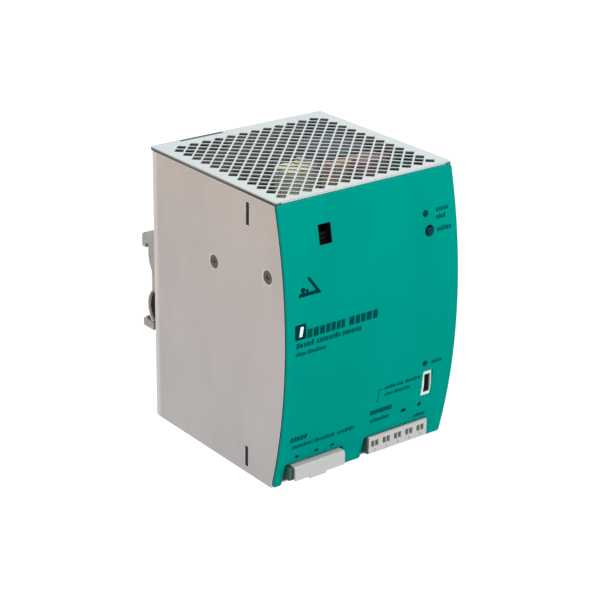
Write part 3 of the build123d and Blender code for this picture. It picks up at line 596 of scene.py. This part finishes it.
def dipped(name, colour):
    """Glossy dipped or boxed coating with slight sags and dust."""
    finish = Finish(name, Specular_IOR_Level=0.5)
    sag = finish.noise(4, 2)
    dust = finish.noise(0.35, 3)
    base = finish.ramp(sag, colour, scaled(colour, 1.12, 0.02), 0.35, 0.7)
    finish.colour(finish.mix(finish.ramp(dust, 0.0, 0.3, 0.58, 0.75), base, linear(214, 206, 192)))
    finish.roughness(finish.ramp(sag, 0.18, 0.34, 0.3, 0.7))
    finish.bump((sag, 0.15, 0.2), (dust, 0.01, 0.2))
    return finish.material


def clear_part(name, colour, transmission, rough):
    """Glass or clear plastic with faint internal cloud."""
    finish = Finish(name, Transmission_Weight=transmission, IOR=1.49)
    cloud = finish.noise(1.2, 2)
    finish.colour(finish.ramp(cloud, colour, scaled(colour, 1.3, 0.03), 0.3, 0.7))
    finish.roughness(finish.ramp(cloud, rough, rough + 0.12, 0.3, 0.7))
    finish.bump((cloud, 0.05, 0.15))
    return finish.material


def printed_ink(name, colour):
    """Pad-printed ink, slightly uneven and matt."""
    finish = Finish(name, Specular_IOR_Level=0.0)
    wear = finish.noise(0.6, 4)
    finish.colour(finish.ramp(wear, colour, scaled(colour, 1.3), 0.35, 0.75))
    finish.roughness(finish.ramp(wear, 0.5, 0.65, 0.3, 0.7))
    finish.bump((wear, 0.01, 0.2))
    return finish.material


SCREW_RADIUS_MM = 2.9
screw_low, screw_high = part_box("side_screws")
SINKS_MM = (
    (screw_high.y / MM - SCREW_RADIUS_MM, screw_low.z / MM + SCREW_RADIUS_MM, SCREW_RADIUS_MM),
    (screw_low.y / MM + SCREW_RADIUS_MM, screw_high.z / MM - SCREW_RADIUS_MM, SCREW_RADIUS_MM),
)
MATERIALS = {
    "case_aluminium": sheet_aluminium(
        "case_sheet", linear(188, 177, 168), linear(180, 174, 173), SINKS_MM, case_high.y / MM
    ),
    "heatsink_aluminium": sheet_aluminium("sink_sheet", linear(196, 196, 198), linear(188, 188, 192)),
    "cover_metal": coated_sheet("cover_sheet", linear(182, 190, 191)),
    "front_plastic": moulded(
        "front_moulding", linear(0, 137, 124), 0.5, grain_mm=0.22, grain=0.12, specular=0.0, wear_and_sheen=0.1
    ),
    "terminal_plastic": moulded("terminal_moulding", linear(178, 178, 176), 0.45, grain_mm=0.3),
    "socket_plastic": moulded("socket_moulding", linear(46, 74, 68), 0.5),
    "black_plastic": moulded("black_moulding", linear(14, 15, 16), 0.5, specular=0.06, wear_and_sheen=0.02),
    "white_plastic": moulded("white_moulding", linear(200, 214, 210), 0.4),
    "button_grey": moulded("button_moulding", linear(4, 56, 62), 0.42, specular=0.03, wear_and_sheen=0.6),
    "bobbin_cream": moulded("bobbin_moulding", linear(224, 214, 188), 0.5),
    "component_black": moulded("component_moulding", linear(58, 66, 71), 0.55),
    # The zinc plate's dark edges are painted shade; the screws' pale edges are a painted highlight ring.
    "zinc_steel": plated_steel("zinc_plate", linear(158, 156, 153), 0.5, 0.45, linear(110, 109, 106)),
    "spring_steel": plated_steel("spring_plate", linear(226, 224, 220), 0.3, 0.45),
    "tinned_contact": plated_steel("tin_plate", linear(112, 103, 92), 0.9, 0.4),
    "screw_steel": plated_steel("dull_zinc", linear(86, 79, 72), 0.5, 0.45, linear(140, 134, 126)),
    "dark_steel": plated_steel("black_oxide", linear(44, 42, 42), 0.6, 0.5),
    "board_green": circuit_board(),
    "copper_wire": wound_wire(),
    "tape_yellow": wound_tape(),
    "capacitor_sleeve": capacitor_sleeve(),
    "ferrite": sintered("ferrite_grey", linear(66, 72, 78), linear(92, 98, 102)),
    "choke_core": sintered("powder_core", linear(196, 176, 72), linear(170, 148, 52)),
    "film_orange": dipped("film_box_orange", linear(200, 150, 120)),
    "film_red": dipped("film_box_red", linear(156, 104, 98)),
    "film_grey": dipped("film_box_grey", linear(168, 170, 172)),
    "varistor_blue": dipped("varistor_dip", linear(40, 84, 150)),
    "fuse_glass": clear_part("fuse_tube", linear(226, 230, 228), 0.85, 0.06),
    "lamp_clear": unlit_lens("lamp_clear_lens", linear(0, 66, 68), 0.9),
    "lamp_green": unlit_lens("lamp_green_lens", linear(0, 62, 62), 0.5),
    "liner_clear": clear_part("liner_film", linear(206, 200, 176), 0.5, 0.3),
}
# Painted shade: the rims under the top sheet's sides are coloured dark as if in shadow.
COVER_RIM_PAINTED_SHADE = coated_sheet("cover_rim_painted_shade", linear(96, 90, 85))
PRINT = printed_ink("teal_print", linear(0, 46, 48))
TITLE_PRINT = printed_ink("title_teal_print", linear(0, 64, 65))
FINE_PRINT = printed_ink("fine_teal_print", linear(0, 78, 76))
PALE_PRINT = printed_ink("pale_print", linear(206, 226, 220))


# ---------------------------------------------------------------- front panel


PANEL_NOTCHES_MM = (  # socket, gaps at its left and right, top of the notch
    ("input_header", -0.4, 0.0, 10.8),
    ("output_header", -0.7, -0.2, 11.1),
)
PANEL_HOLES_MM = (("overload_lamp", 1.4), ("output_lamp", 1.4), ("reset_button", 2.4))
WINDOW_INSET_MM = (1.8, 2.0)  # from the sides and from the ends of the selector's body
JUMPER_GAP_MM = 0.2
LINING_MM = 0.06
LINING_LESS_MM = 0.3  # how much thinner the lining is than the panel
LINING_SUNK_MM = 0.2
SNAP_HOOKS_MM = (26.0, 104.0)
HOOK_SPAN_MM = (1.9, 3.2)
HOOK_HALF_MM = 4
HOOK_BACK_MM = 8.0
HOOK_OVERLAP_MM = 0.3
# Dark blocks beside the plugs stand in for shade: painted shade.
SHADE_CHEEKS_MM = (("input", 1.4, 1.1), ("output", 0.05, 0.2))  # behind the plug's face, above its foot
CHEEK_INSET_MM = 0.1
CHEEK_GAP_MM = 0.06
CHEEK_BACK_MM = 2.0
CHEEK_BELOW_MM = 0.3


def node_span_mm(node):
    """A node's box across the front, as left, right, bottom and top in millimetres of the case."""
    low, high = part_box(node)
    return (low.x - LEFT) / MM, (high.x - LEFT) / MM, low.z / MM, high.z / MM


def window_outline(grown):
    """Outline of the selector's window, grown on every side."""
    x0, x1, z0, z1 = node_span_mm("selector_body")
    aside, above = (inset - grown for inset in WINDOW_INSET_MM)
    return rectangle(x0 + aside, x1 - aside, z0 + above, z1 - above)


def panel_loops(left, right):
    """Outline of the panel between two sides, then its window, its well and its round holes."""
    bottom, top = panel_low.z / MM, panel_high.z / MM
    outline = [(left, bottom)]
    for node, left_gap, right_gap, notch_top in PANEL_NOTCHES_MM:
        x0, x1, _, _ = node_span_mm(node)
        x0, x1 = x0 + left_gap, x1 + right_gap
        outline += [(x0, bottom), (x0, notch_top), (x1, notch_top), (x1, bottom)]
    outline += [(right, bottom), (right, top), (left, top)]
    x0, x1, z0, z1 = node_span_mm("jumper_header")
    gap = JUMPER_GAP_MM
    well = rectangle(x0 - gap, x1 + gap, z0 - gap, z1 + gap)
    holes = [circle(*centre_mm(node), radius) for node, radius in PANEL_HOLES_MM]
    return [rounded(outline, 0.9), window_outline(0.0), well] + holes


def add_snap_hooks(bm):
    """Blocks behind the panel that snap between the side walls."""
    near, far = HOOK_SPAN_MM
    for z in SNAP_HOOKS_MM:
        face = front_y(z, PANEL_THICK_MM) - HOOK_OVERLAP_MM
        for x0, x1 in ((near, far), (WIDTH_MM - far, WIDTH_MM - near)):
            add_box(bm, x0, x1, face, HOOK_BACK_MM, z - HOOK_HALF_MM, z + HOOK_HALF_MM)


def make_front_panel():
    """Curved moulding: a rim over the walls' edges, a thicker middle between them, and snap hooks."""
    left, right = (panel_low.x - LEFT) / MM, (panel_high.x - LEFT) / MM
    rim = slab_bmesh(panel_loops(left, right), PANEL_LIP_MM, 0.3, STRIP_MM)
    wrap_on_front(rim, PANEL_LIP_MM)
    overlap, wall_gap = 0.2, 0.3
    thick = PANEL_THICK_MM - PANEL_LIP_MM + overlap
    inset = WALL_MM + wall_gap
    inner = slab_bmesh(panel_loops(inset, WIDTH_MM - inset), thick, 0.1, STRIP_MM)
    wrap_on_front(inner, thick, thick - PANEL_THICK_MM)
    add_snap_hooks(inner)
    join_bmesh(rim, inner)
    panel = from_bmesh("front_panel_shape", rim)
    weigh_normals(panel)
    stand_for(panel, "front_panel")


def make_shade_cheeks():
    """Dark block at the left of each terminal plug, standing forward beside it: painted shade for the
    shaded gap beside the plug.
    """
    for side, behind, lift in SHADE_CHEEKS_MM:
        left = node_span_mm(f"{side}_header")[0] + CHEEK_INSET_MM
        plug_left, _, plug_low, plug_high = node_span_mm(f"{side}_plug")
        right = plug_left - CHEEK_GAP_MM
        front = (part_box(f"{side}_plug")[0].y - FRONT) / MM + behind
        bm = bmesh.new()
        add_box(bm, left, right, front, CHEEK_BACK_MM, plug_low + lift, plug_high - CHEEK_BELOW_MM)
        cheek = from_bmesh(f"{side}_shade_cheek", bm)
        round_edges(cheek, 0.15)
        cheek.data.materials.append(MATERIALS["socket_plastic"])
        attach(cheek, "case")


def make_window_lining():
    """Dark sides of the selector's window."""
    deep = PANEL_THICK_MM - LINING_LESS_MM
    bm = slab_bmesh([window_outline(LINING_MM), window_outline(-LINING_MM)], deep, 0.0, STRIP_MM)
    wrap_on_front(bm, deep, -LINING_SUNK_MM)
    lining = from_bmesh("window_lining", bm)
    lining.data.materials.append(MATERIALS["black_plastic"])
    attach(lining, "case")


# ---------------------------------------------------------------- print

PRINT_THICK_MM = 0.04
PRINT_GAP_MM = 0.005


def make_print(name, shapes, material=PRINT, above=0.0):
    """Thin printed shapes on the curved front, or above other print."""
    bm = slab_bmesh(shapes, PRINT_THICK_MM, 0.0, STRIP_MM)
    wrap_on_front(bm, PRINT_THICK_MM, PRINT_THICK_MM + PRINT_GAP_MM + above)
    obj = from_bmesh(name, bm)
    obj.data.materials.append(material)
    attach(obj, "case")


def greek_line(x0, x1, z, height, seed, weight=0.76, short=0.8):
    """Slanted blocks of uneven width in word-like runs: a line of print with no letters in it."""
    draw = random.Random(seed)
    blocks = []
    x = x0
    left = draw.randint(4, 8)
    low = z - height / 2
    while x + height * 0.5 < x1:
        step = height * draw.uniform(0.5, 0.95)
        tall = height if draw.random() < 0.35 else height * short
        wide, lean = step * weight, tall * 0.08
        blocks.append([(x, low), (x + wide, low), (x + wide + lean, low + tall), (x + lean, low + tall)])
        x += step
        left -= 1
        if left == 0 and x1 - x > height * 3:
            x += step * 0.7
            left = draw.randint(3, 8)
    return blocks


PRINT_LINES = (  # name, left, right, middle height, height of the print
    ("print_overload_1", 79.0, 86.3, 106.3, 1.9),
    ("print_overload_2", 78.7, 84.7, 103.2, 1.9),
    ("print_reset", 78.9, 87.3, 98.1, 1.9),
    ("print_type", 4.6, 38.0, 65.6, 2.2),
    ("print_serial", 4.3, 20.5, 61.9, 1.7),
    ("print_input_rating", 6.1, 39.7, 18.9, 1.9),
    ("print_output_rating", 47.1, 58.1, 19.0, 1.9),
    ("print_mode_1", 52.7, 72.3, 33.7, 1.5),
    ("print_mode_2", 53.1, 67.0, 30.4, 1.5),
    ("print_lamp_output", 77.6, 83.0, 39.2, 1.6),
    ("print_pole_output", 71.9, 78.7, 13.9, 1.6),
)
BOLD_LINES = (
    ("print_title", 9.9, 46.5, 69.7, 3.6),
    ("print_input", 4.6, 13.8, 22.7, 2.2),
    ("print_output", 46.3, 58.2, 23.1, 2.2),
)
BOLD_SEED = 50
BOLD_WEIGHT = 0.78
TILE_MM = (4.0, 9.5, 68.0, 74.4, 0.7)
TILE_BAR_MM = ((5.9, 69.0), (7.5, 69.2), (8.3, 73.2), (6.7, 73.4))
RAMP_MM = ((6.0, 85.4), (17.6, 85.4), (12.0, 93.0), (10.9, 92.4), (14.9, 86.9), (6.9, 86.9))
RAMP_FOOT_MM = ((8.6, 88.1, 1.1), (10.6, 87.6, 0.7))
BRACKET_MM = ((49.4, 27.6), (49.8, 27.6), (49.8, 33.2), (51.6, 33.2), (51.6, 33.6), (49.4, 33.6))
POLES_MM = (9.5, 19.5, 27.9)
POLE_HALF_MM = 0.9
POLE_HEIGHTS_MM = (13.0, 14.2)
DOT_MM = (74.1, 19.4, 1.0)
DASH_MM = (64.0, 66.6, 18.2, 19.8)


def make_prints():
    """Every printed mark on the front."""
    for seed, (name, x0, x1, z, height) in enumerate(PRINT_LINES):
        make_print(name, greek_line(x0, x1, z, height, seed), FINE_PRINT)
    for seed, (name, x0, x1, z, height) in enumerate(BOLD_LINES):
        line = greek_line(x0, x1, z, height, BOLD_SEED + seed, BOLD_WEIGHT, 1.0)
        make_print(name, line, TITLE_PRINT)
    make_print("print_tile", [rectangle(*TILE_MM)])
    make_print("print_tile_bar", [rounded(TILE_BAR_MM, 0.4)], PALE_PRINT, PRINT_THICK_MM)
    make_print("print_ramp", [rounded(RAMP_MM, 0.25)])
    make_print("print_ramp_foot", [circle(*disc) for disc in RAMP_FOOT_MM])
    for i, x in enumerate(POLES_MM):
        pole = rectangle(x - POLE_HALF_MM, x + POLE_HALF_MM, *POLE_HEIGHTS_MM)
        make_print(f"print_pole_{i}", [pole])
    make_print("print_bracket", [BRACKET_MM], FINE_PRINT)
    make_print("print_dot", [circle(*DOT_MM)])
    make_print("print_dash", [rectangle(*DASH_MM)])


# ---------------------------------------------------------------- perforated covers

HOLE_SIDE_MM = 3.7
MESH_STEP_MM = 4.5 * math.sqrt(2)
MESH_FIRST_MM = (6.3, 5.0)
MESH_COLUMNS = 13
MESH_ROWS = 12
HOLE_CORNER_MM = 0.25
SHEET_MM = 0.6
SHEET_EDGE_MM = 0.08
END_RIM_MM = 1.3
END_THICK_MM = 1.2
SIDE_RIM_MM = 1.7
RIM_MM = 2.8
REAR_NOTCH_MM = (14.0, 35.7, 2.3)  # left, right and depth


def mesh_holes():
    """Outlines of the staggered square holes."""
    half = HOLE_SIDE_MM / math.sqrt(2)
    holes = []
    for row in range(MESH_ROWS):
        for column in range(2 * MESH_COLUMNS - 1):
            x = MESH_FIRST_MM[0] + MESH_STEP_MM * column / 2
            y = MESH_FIRST_MM[1] + MESH_STEP_MM * (row + column % 2 / 2)
            corners = [(x + half, y), (x, y + half), (x - half, y), (x, y - half)]
            holes.append(rounded(corners, HOLE_CORNER_MM, 2))
    return holes


def lay_flat(bm, z):
    """Moves a slab drawn as X across and Y back to a height, its middle at z."""
    for vertex in bm.verts:
        vertex.co = place(vertex.co.x, vertex.co.y, z + vertex.co.z)
    bmesh.ops.recalc_face_normals(bm, faces=bm.faces)


def cover_outline(front, back):
    """Outline of the top sheet, with its notch at the back."""
    notch0, notch1, depth = REAR_NOTCH_MM
    outline = [(0, front), (WIDTH_MM, front), (WIDTH_MM, back)]
    outline += [(notch1, back), (notch1, back - depth), (notch0, back - depth), (notch0, back)]
    return rounded(outline + [(0, back)], 0.3, 2)


def make_cover_rim(front, back, under):
    """Turned-down rims below the two sides of the top sheet, coloured dark as painted shade."""
    sides = bmesh.new()
    for x0, x1 in ((0.1, RIM_MM), (WIDTH_MM - RIM_MM, WIDTH_MM - 0.1)):
        add_box(sides, x0, x1, front, back, HEIGHT_MM - SIDE_RIM_MM, under)
    rim = from_bmesh("top_cover_rim", sides)
    rim.data.materials.append(COVER_RIM_PAINTED_SHADE)
    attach(rim, "case")


def make_top_cover():
    """Punched top sheet with turned-down ends and side rims, notched at the back."""
    front, back = (top_low.y - FRONT) / MM, (top_high.y - FRONT) / MM
    under = HEIGHT_MM - SHEET_MM
    bm = slab_bmesh([cover_outline(front, back)] + mesh_holes(), SHEET_MM, SHEET_EDGE_MM)
    lay_flat(bm, HEIGHT_MM - SHEET_MM / 2)
    right = WIDTH_MM - RIM_MM
    notch0, notch1, _ = REAR_NOTCH_MM
    add_box(bm, RIM_MM, right, front, front + END_THICK_MM, HEIGHT_MM - END_RIM_MM, under)
    for x0, x1 in ((RIM_MM, notch0), (notch1, right)):
        add_box(bm, x0, x1, back - END_THICK_MM, back, HEIGHT_MM - END_RIM_MM, under)
    make_cover_rim(front, back, under)
    cover = from_bmesh("top_cover_shape", bm)
    weigh_normals(cover)
    stand_for(cover, "top_cover")


# ---------------------------------------------------------------- carried-over nodes

EDGES_MM = {
    "chassis": 0.22,
    "rail_bracket": 0.3,
    "rail_latch": 0.3,
    "spring_rivets": 0.1,
    "spring_buffers": 0.2,
    "plug_levers": 0.15,
    "cover_catch": 0.2,
    "cover_clips": 0.1,
    "input_plug": 0.25,
    "output_plug": 0.2,
    "input_header": 0.2,
    "output_header": 0.2,
    "input_clamps": 0.1,
    "output_clamps": 0.1,
    "jumper_header": 0.15,
    "mode_jumper": 0.12,
    "selector_body": 0.15,
    "selector_slider": 0.15,
    "reset_button": 0.12,
    "heatsink": 0.2,
    "power_transistors": 0.25,
    "transistor_clip": 0.2,
    "bridge_rectifier": 0.3,
    "transformer_core": 0.5,
    "transformer_bobbin": 0.2,
    "board_connectors": 0.3,
    "control_bracket": 0.2,
    "control_chips": 0.1,
    "main_pcb": 0.1,
    "control_pcb": 0.1,
    "terminal_pcb": 0.1,
}


def finish_nodes():
    """Rounds the edges of the plain nodes and gives every node its slot's material."""
    for node, width in EDGES_MM.items():
        refine(node, width)
    for node, obj in frame["nodes"].items():
        obj.data.materials.clear()
        obj.data.materials.append(MATERIALS[SLOT_OF[node]])


# ---------------------------------------------------------------- stage


FLOOR_HALF = 6.0
FLOOR_GLOW = 1.1


def make_floor():
    """Large pale floor, lit from within so that it stays even."""
    bm = bmesh.new()
    bmesh.ops.create_grid(bm, x_segments=2, y_segments=2, size=FLOOR_HALF)
    floor = from_bmesh("floor", bm)
    finish = Finish("floor_paper", Roughness=0.8, Specular_IOR_Level=0.1)
    fibre = finish.noise(3.0, 3)
    finish.colour(finish.ramp(fibre, linear(60, 60, 60), linear(64, 64, 64), 0.3, 0.7))
    finish.shader.inputs["Emission Color"].default_value = (1, 1, 1, 1)
    finish.shader.inputs["Emission Strength"].default_value = FLOOR_GLOW
    floor.data.materials.append(finish.material)


def area_light(name, position, target, size, power):
    """Soft square light aimed at a point."""
    data = bpy.data.lights.new(name, "AREA")
    data.size = size
    data.energy = power
    light = add_object(name, data)
    light.location = position
    light.rotation_mode = "QUATERNION"
    light.rotation_quaternion = (Vector(target) - Vector(position)).to_track_quat("-Z", "Y")


WORLD_STRENGTH = 0.8
LIT_POINT = (0, 0, 0.06)
AREA_LIGHTS = (  # name, position, side and watts
    ("overhead", (0.1, -0.15, 1.1), 0.9, 9.0),
    ("front_right", (0.7, -1.1, 0.7), 0.8, 6.0),
)


def make_lights():
    """White surroundings with a large soft light overhead and a weaker one in front."""
    world = bpy.data.worlds.new("studio")
    bpy.context.scene.world = world
    world.use_nodes = True
    background = world.node_tree.nodes["Background"]
    background.inputs["Color"].default_value = (1, 1, 1, 1)
    background.inputs["Strength"].default_value = WORLD_STRENGTH
    for name, position, size, power in AREA_LIGHTS:
        area_light(name, position, LIT_POINT, size, power)


CAMERA_AZIMUTH = -37.929
CAMERA_ELEVATION = 22.602
CAMERA_ROLL = 0.877
CAMERA_DISTANCE = 0.71212
CAMERA_LENS_MM = 108.156
SENSOR_MM = 36.0
LOOK_AT_MM = (12.51, 0.14, 80.75)  # the view's middle, from the case's left face, front chord and foot


def make_camera():
    """Camera left of the front and a little above it, with a long lens."""
    azimuth, elevation = math.radians(CAMERA_AZIMUTH), math.radians(CAMERA_ELEVATION)
    flat = math.cos(elevation)
    back = Vector((math.sin(azimuth) * flat, -math.cos(azimuth) * flat, math.sin(elevation)))
    right = (-back).cross(Vector((0, 0, 1))).normalized()
    up = back.cross(right)
    roll = math.radians(CAMERA_ROLL)
    side = right * math.cos(roll) + up * math.sin(roll)
    over = up * math.cos(roll) - right * math.sin(roll)
    turn = Matrix((side, over, back)).transposed()
    data = bpy.data.cameras.new("camera")
    data.lens = CAMERA_LENS_MM
    data.sensor_width = SENSOR_MM
    camera = add_object("camera", data)
    camera.matrix_world = Matrix.Translation(place(*LOOK_AT_MM) + back * CAMERA_DISTANCE) @ turn.to_4x4()
    bpy.context.scene.camera = camera


bpy.context.scene.view_settings.view_transform = "Standard"
make_camera()
make_lights()
make_floor()
finish_nodes()
make_front_panel()
make_window_lining()
make_shade_cheeks()
make_top_cover()
make_prints()
